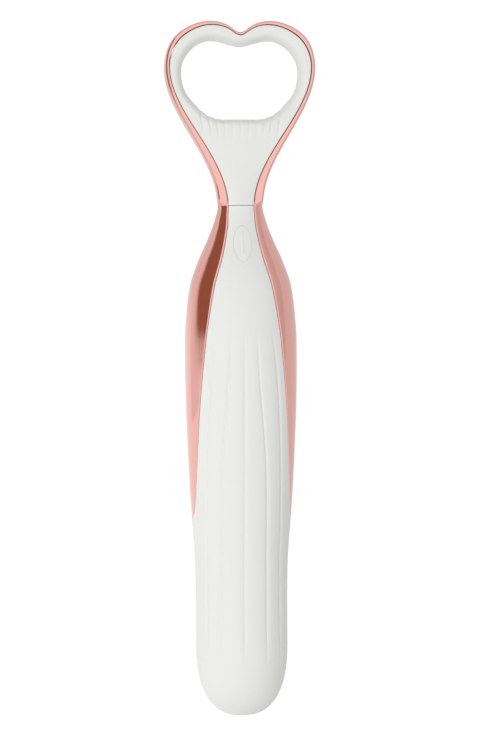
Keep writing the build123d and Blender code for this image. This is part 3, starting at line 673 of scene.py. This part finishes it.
def heart_half(side, neck, notch, counts):
    """The heart's right half from the seam to the notch, taken in by side, neck and notch.

    Its points are shares of the heart's own width and height.
    """
    root, wide, top = neck_half - neck, loop_half - side, loop_length - side
    dip = loop_length - cleft_depth - notch

    def flare(share_x, share_y):
        return (root + share_x * (wide - root), share_y * loop_length)

    shoulder = flare(0.576, 0.418)
    widest = (wide, 0.7475 * loop_length)
    low = curve_through([(root, 0), flare(0.198, 0.222), shoulder, flare(0.86, 0.574), widest],
                        400, (0, 1), (0, 1))
    split = int(np.argmin(np.abs(low[:, 1] - shoulder[1])))
    lobe = curve_through([widest, (0.886 * wide, 0.905 * top), (0.694 * wide, 0.968 * top),
                          (0.396 * wide, top)], counts[2], (0, 1), (-1, 0))
    cleft = curve_through([(0.396 * wide, top), (0.12 * wide, dip + 0.43 * (top - dip)), (0, dip)],
                          counts[3], (-1, 0), (-1, 0))
    low_a = curve_through(low[:split + 1:25], counts[0], (0, 1))
    upper = low[split::25]
    if (399 - split) % 25:
        upper = np.vstack((upper, low[-1:]))
    low_b = curve_through(upper, counts[1], None, (0, 1))
    return np.vstack((low_a, low_b[1:], lobe[1:], cleft[1:]))


def opening_half(counts):
    """The finger opening's right half from the middle of its foot to the notch."""
    wide = loop_half - band_width - ring_width
    top = loop_length - band_width - ring_at_lobe
    dip = loop_length - cleft_depth - band_at_cleft - ring_at_cleft
    tall = top - web_length

    def spot(share_x, share_y):
        return (share_x * wide, web_length + share_y * tall)

    flat = np.column_stack((np.linspace(0, 0.27 * wide, counts[0]), np.full(counts[0], web_length)))
    foot = curve_through([spot(0.27, 0.0), spot(0.40, 0.01), spot(0.751, 0.18)], counts[1], (1, 0))
    side = curve_through([spot(0.751, 0.18), spot(0.918, 0.333), spot(1.0, 0.6)], counts[2],
                         (0.72, 0.69), (0, 1))
    lobe = curve_through([spot(1.0, 0.6), spot(0.852, 0.867), (0.495 * wide, top)], counts[3],
                         (0, 1), (-1, 0))
    cleft = curve_through([(0.495 * wide, top), (0.16 * wide, dip + 0.28 * (top - dip)), (0, dip)],
                          counts[4], (-1, 0), (-1, 0))
    return np.vstack((flat, foot[1:], side[1:], lobe[1:], cleft[1:]))


def loop_depth_at(x, rise):
    """Half the loop's depth: the neck's ellipse at the seam, a shallow waist, then level."""
    return hermite(depth_line, rise) * math.sqrt(max(1 - (x / hermite(oval_line, rise)) ** 2, 0.0))


def cover_half():
    """Matching points of the cover's outer line and of the opening's edge, right half."""
    counts = (30, 52, 44, 44, 26)
    inner = opening_half(counts)
    outer = heart_half(band_width + cover_gap, band_at_neck + cover_gap, band_at_cleft + cover_gap,
                       counts[1:])
    seam = np.column_stack((np.linspace(0, outer[0][0], counts[0]), np.full(counts[0], 0.05)))
    outer[0][1] = 0.05
    return np.vstack((seam, outer[1:])), inner


def grip_at(opening_point, to_edge):
    """Depth of the grip flutes, deepest at the opening's edge and away from the middle."""
    beside = abs(opening_point[0])
    if beside >= grip_reach or opening_point[1] >= web_length + 9:
        return 0.0
    off = (opening_point[0] / grip_pitch + 0.5) % 1.0 - 0.5
    grip = grip_depth * math.exp(-(off * grip_pitch / grip_half) ** 2)
    return grip * ((1 - smooth_step(*grip_fade, to_edge)) * (0.45 + 0.55 * smooth_step(3, 11, beside)))


def build_cover(mesh):
    """Front and back of the cover between the band and the opening, with a short wall at the band."""
    outer, inner = cover_half()
    flip = np.array((-1.0, 1.0))
    outer = np.vstack((outer[::-1] * flip, outer[1:]))
    inner = np.vstack((inner[::-1] * flip, inner[1:]))
    shares = (0, 0.012, 0.03, 0.06, 0.1, 0.15, 0.22, 0.3, 0.38, 0.46, 0.54, 0.61, 0.68, 0.74, 0.79, 0.83,
              0.865, 0.895, 0.92, 0.94, 0.957, 0.97, 0.98, 0.988, 0.994, 0.998, 1.0)
    for side in (1, -1):
        rows = []
        for s in shares:
            row = []
            for k in range(len(outer)):
                spot = outer[k] + s * (inner[k] - outer[k])
                inwards = inner[k] - outer[k]
                inwards = inwards / np.linalg.norm(inwards)
                to_edge = np.min(np.linalg.norm(inner - spot, axis=1)) if s < 1 else 0.0
                to_band = np.min(np.linalg.norm(outer - spot, axis=1)) if s > 0 else 0.0
                lean_in = 1 - min(to_edge / collar_round, 1.0)
                height = (1 - lean_in**collar_power) ** (1 / collar_power)
                deep = loop_depth_at(spot[0], spot[1]) * height - rounded_edge(to_band)
                grip = grip_at(inner[k], to_edge)
                x, y = spot - inwards * grip * (1 - height)
                z = axis_z + side * max(deep - grip * height, 0.0)
                row.append((x * MM, (seam_y + y) * MM, z * MM))
            rows.append(row)
        wall = [(x, y, z - side * cover_return * MM) for x, y, z in rows[0]]
        add_grid(mesh, [wall] + rows)


cover = piece_from("loop_cover", build_cover, sleeve_white)
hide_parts("loop_skin")

# ---------------------------------------------------------------- plated frame
# One thin moulding in rose-gold plated plastic: a band round the heart that widens to the neck, and
# from there two leaf-shaped flanks that lie flush in the sleeve and end in points.
band_round, band_lip, band_crown, band_return = 1.15, 0.3, 0.35, 1.6
flank_round, flank_return = 0.3, 1.2
seam_tilt, tilt_length, oval_length = math.radians(20), 12.0, 2.0
section_points = 25


def plating(name):
    """Polished rose-gold plate: a hint of orange peel, fine handling marks, the faintest clouding."""
    material, shader = coloured(name, (0.95, 0.50, 0.44), 0.07, Metallic=1.0, Coat_Weight=0.4,
                                Coat_Roughness=0.05)
    tree = material.node_tree
    place = tree.nodes.new("ShaderNodeTexCoord")
    peel = tree.nodes.new("ShaderNodeTexNoise")
    peel.inputs["Scale"].default_value = 260.0
    peel.inputs["Detail"].default_value = 1.0
    marks = tree.nodes.new("ShaderNodeTexNoise")
    marks.inputs["Scale"].default_value = 900.0
    marks.inputs["Detail"].default_value = 4.0
    rough = tree.nodes.new("ShaderNodeMapRange")
    rough.inputs["To Min"].default_value = 0.05
    rough.inputs["To Max"].default_value = 0.14
    tint = tree.nodes.new("ShaderNodeMix")
    tint.data_type = "RGBA"
    tint.inputs["A"].default_value = (0.96, 0.515, 0.455, 1.0)
    tint.inputs["B"].default_value = (0.94, 0.485, 0.425, 1.0)
    bump = tree.nodes.new("ShaderNodeBump")
    bump.inputs["Strength"].default_value = 0.015
    bump.inputs["Distance"].default_value = 0.0005
    link = tree.links.new
    link(place.outputs["Object"], peel.inputs["Vector"])
    link(place.outputs["Object"], marks.inputs["Vector"])
    link(peel.outputs["Fac"], tint.inputs["Factor"])
    link(tint.outputs["Result"], shader.inputs["Base Color"])
    link(marks.outputs["Fac"], rough.inputs["Value"])
    link(rough.outputs["Result"], shader.inputs["Roughness"])
    link(peel.outputs["Fac"], bump.inputs["Height"])
    link(bump.outputs["Normal"], shader.inputs["Normal"])
    return material


rose_gold = plating("rose_gold")


def frame_section(width, inner_height, tilt):
    """Half the frame's section from its outer middle line to its inner edge: (distance inwards, height).

    An upright wall turns over a round corner into a top that climbs at a tilt to the inner edge.
    """
    lip = min(band_lip, 0.25 * width)
    radius = min(band_round, width - lip)
    run = width - lip - radius + radius * math.sin(tilt)
    shoulder = inner_height - radius * math.cos(tilt) - run * math.tan(tilt)
    turns = [math.radians(90) - (math.radians(90) - tilt) * k / 12 for k in range(13)]
    points = [(0.0, share * shoulder) for share in (0.0, 0.2, 0.4, 0.6, 0.8, 0.93)]
    points += [(radius - radius * math.sin(a), shoulder + radius * math.cos(a)) for a in turns]
    to_lip = [run * (1 - k) for k in (0.3, 0.6, 1.0)]
    points += [(width - lip - r, inner_height - r * math.tan(tilt)) for r in to_lip]
    points += [(width - lip + lip * math.sin(a), inner_height - lip + lip * math.cos(a))
               for a in (0.5, 1.0, 1.5708)]
    crown = band_crown * (1 - tilt / seam_tilt)
    return [(d + (width - d) / width * crown * (h / inner_height) ** 2, h) for d, h in points]


def oval_section(at):
    """Half a flank's section, the body's own oval, with as many points as the band's section has."""
    wide = half_width(at)
    deep, edge = wide * ratio(at), edge_angle(at)
    fade = smooth_step(flank_end, flank_end + 3.0, at)
    section = []
    for k in range(section_points):
        angle = math.pi / 2 - (math.pi / 2 - edge) * (1 - (1 - k / (section_points - 1)) ** 1.5)
        drop = fade * rounded_edge((angle - edge) * wide, flank_round)
        section.append((wide - (wide - drop) * math.sin(angle), (deep - drop) * math.cos(angle)))
    return section, fade


def build_band(mesh):
    """The band's sections round the heart, which turn into the flanks' oval at the seam."""
    at_seam, _ = oval_section(body_length)
    counts = (70, 60, 80, 40)
    outer = heart_half(0, 0, 0, counts)
    inner = heart_half(band_width, band_at_neck, band_at_cleft, counts)
    rows = []
    for o, i in zip(outer, inner):
        width = float(np.linalg.norm(i - o))
        inner_height = loop_depth_at(i[0], i[1])
        half = frame_section(width, inner_height, seam_tilt * (1 - smooth_step(0, tilt_length, o[1])))
        share = 1 - smooth_step(0, oval_length, o[1])
        half = [(d + share * (to_d - d), h + share * (to_h - h))
                for (d, h), (to_d, to_h) in zip(half, at_seam)]
        profile = [(width, inner_height - band_return)] + half[::-1]
        profile += [(d, -h) for d, h in half[1:]] + [(width, band_return - inner_height)]
        inwards = (i - o) / width
        rows.append([((o[0] + d * inwards[0]) * MM, (seam_y + o[1] + d * inwards[1]) * MM,
                      (axis_z + h) * MM) for d, h in profile])
    left = [[(-x, y, z) for x, y, z in row] for row in rows]
    add_grid(mesh, rows)
    add_grid(mesh, left)


band = piece_from("plated_band", build_band, rose_gold)
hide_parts("loop_band")


def build_flank(mesh, side):
    """A flank's sections from its pointed end to the seam."""
    places = [flank_end + d for d in (0.02, 0.1, 0.25, 0.5, 0.9, 1.4, 2.0, 2.6)]
    places += list(np.arange(flank_end + 3.3, body_length - 6.0, 0.7))
    places += list(np.arange(body_length - 5.8, body_length, 0.2))
    rows = []
    for at in places + [body_length]:
        half, fade = oval_section(at)
        edge_in, edge_height = half[-1]
        profile = [(edge_in, edge_height - fade * flank_return)] + half[::-1]
        profile += [(d, -h) for d, h in half[1:]] + [(edge_in, fade * flank_return - edge_height)]
        wide, middle = half_width(at), middle_z(at)
        rows.append([(side * (wide - d) * MM, (tip_y + at) * MM, (middle + h) * MM) for d, h in profile])
    add_grid(mesh, rows)


for side, node in ((1, "right_flank"), (-1, "left_flank")):
    flank = piece_from("plated_" + node, lambda mesh: build_flank(mesh, side), rose_gold)
    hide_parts(node)

# ---------------------------------------------------------------- parts inside
# The hard shells, spine, screws, board, cell, motor and leads keep the shapes of the frame's own
# solids. Each gets the finish of what it is made of: moulded, drawn, sintered, sleeved or plated.
def finish(name, colour, roughness, metallic=0.0, grain_scale=900.0, grain=0.05, wear=0.12):
    """A plain finish with a fine grain in its colour, its gloss and its surface."""
    material, shader = coloured(name, colour, roughness, Metallic=metallic)
    tree = material.node_tree
    place = tree.nodes.new("ShaderNodeTexCoord")
    noise = tree.nodes.new("ShaderNodeTexNoise")
    noise.inputs["Scale"].default_value = grain_scale
    noise.inputs["Detail"].default_value = 4.0
    tint = tree.nodes.new("ShaderNodeMix")
    tint.data_type = "RGBA"
    tint.inputs["A"].default_value = (*(min(c * (1 + wear), 1.0) for c in colour), 1.0)
    tint.inputs["B"].default_value = (*(c * (1 - wear) for c in colour), 1.0)
    rough = tree.nodes.new("ShaderNodeMapRange")
    rough.inputs["To Min"].default_value = max(roughness - 0.08, 0.02)
    rough.inputs["To Max"].default_value = min(roughness + 0.08, 1.0)
    bump = tree.nodes.new("ShaderNodeBump")
    bump.inputs["Strength"].default_value = grain
    bump.inputs["Distance"].default_value = 0.0002
    link = tree.links.new
    link(place.outputs["Object"], noise.inputs["Vector"])
    link(noise.outputs["Fac"], tint.inputs["Factor"])
    link(tint.outputs["Result"], shader.inputs["Base Color"])
    link(noise.outputs["Fac"], rough.inputs["Value"])
    link(rough.outputs["Result"], shader.inputs["Roughness"])
    link(noise.outputs["Fac"], bump.inputs["Height"])
    link(bump.outputs["Normal"], shader.inputs["Normal"])
    return material


inside = {
    ("core_front_shell", "core_rear_shell"): finish("moulded_abs", (0.80, 0.80, 0.78), 0.55),
    ("loop_spine",): finish("glass_filled_nylon", (0.74, 0.74, 0.73), 0.62, grain_scale=1600.0),
    ("shell_screws", "spine_screws", "board_screws"): finish("zinc_plate", (0.62, 0.62, 0.64), 0.30, 1.0),
    ("neck_seal",): finish("seal_rubber", (0.03, 0.03, 0.03), 0.70),
    ("motor_boot",): finish("boot_rubber", (0.06, 0.06, 0.07), 0.75),
    ("button_plunger",): finish("polished_acetal", (0.88, 0.88, 0.86), 0.25, grain=0.01),
    ("circuit_board",): finish("solder_mask", (0.02, 0.16, 0.06), 0.30, grain_scale=2500.0),
    ("controller_chip", "switch_body", "switch_stem"): finish("moulded_epoxy", (0.02, 0.02, 0.02), 0.55),
    ("status_lamp",): finish("lamp_lens", (0.90, 0.88, 0.76), 0.20, grain=0.01),
    ("battery_cell",): finish("shrink_wrap", (0.06, 0.16, 0.45), 0.35, grain_scale=300.0),
    ("battery_tabs",): finish("nickel_strip", (0.70, 0.68, 0.63), 0.32, 1.0),
    ("battery_foam",): finish("closed_cell_foam", (0.04, 0.04, 0.04), 0.95, grain_scale=2200.0, grain=0.4),
    ("battery_leads",): finish("red_sleeving", (0.50, 0.02, 0.02), 0.45),
    ("motor_leads",): finish("blue_sleeving", (0.03, 0.08, 0.36), 0.45),
    ("charge_leads",): finish("black_sleeving", (0.02, 0.02, 0.02), 0.45),
    ("motor_can",): finish("drawn_steel", (0.66, 0.66, 0.67), 0.28, 1.0, grain_scale=1200.0),
    ("motor_magnets",): finish("ferrite", (0.05, 0.05, 0.05), 0.70),
    ("motor_end_cap",): finish("nylon_cap", (0.82, 0.81, 0.76), 0.50),
    ("motor_bush",): finish("sintered_bronze", (0.50, 0.30, 0.13), 0.50, 1.0, 3000.0, 0.2),
    ("motor_terminals",): finish("tinned_brass", (0.78, 0.62, 0.30), 0.30, 1.0),
    ("motor_shaft",): finish("ground_steel", (0.72, 0.72, 0.74), 0.12, 1.0, grain=0.01),
    ("rotor_armature",): finish("wound_armature", (0.42, 0.19, 0.09), 0.45, 1.0, 1800.0, 0.3),
    ("eccentric_weight",): finish("heavy_alloy", (0.42, 0.42, 0.43), 0.40, 1.0, 2600.0, 0.15),
    ("contact_carrier",): finish("carrier_plastic", (0.84, 0.84, 0.82), 0.42),
    ("charge_contacts",): finish("gold_plate", (0.95, 0.66, 0.28), 0.14, 1.0, grain=0.02),
    ("charge_magnets",): finish("nickel_plate", (0.72, 0.71, 0.69), 0.18, 1.0, grain=0.02),
}
for nodes, material in inside.items():
    for node in nodes:
        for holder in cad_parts[node].material_slots:
            holder.material = material
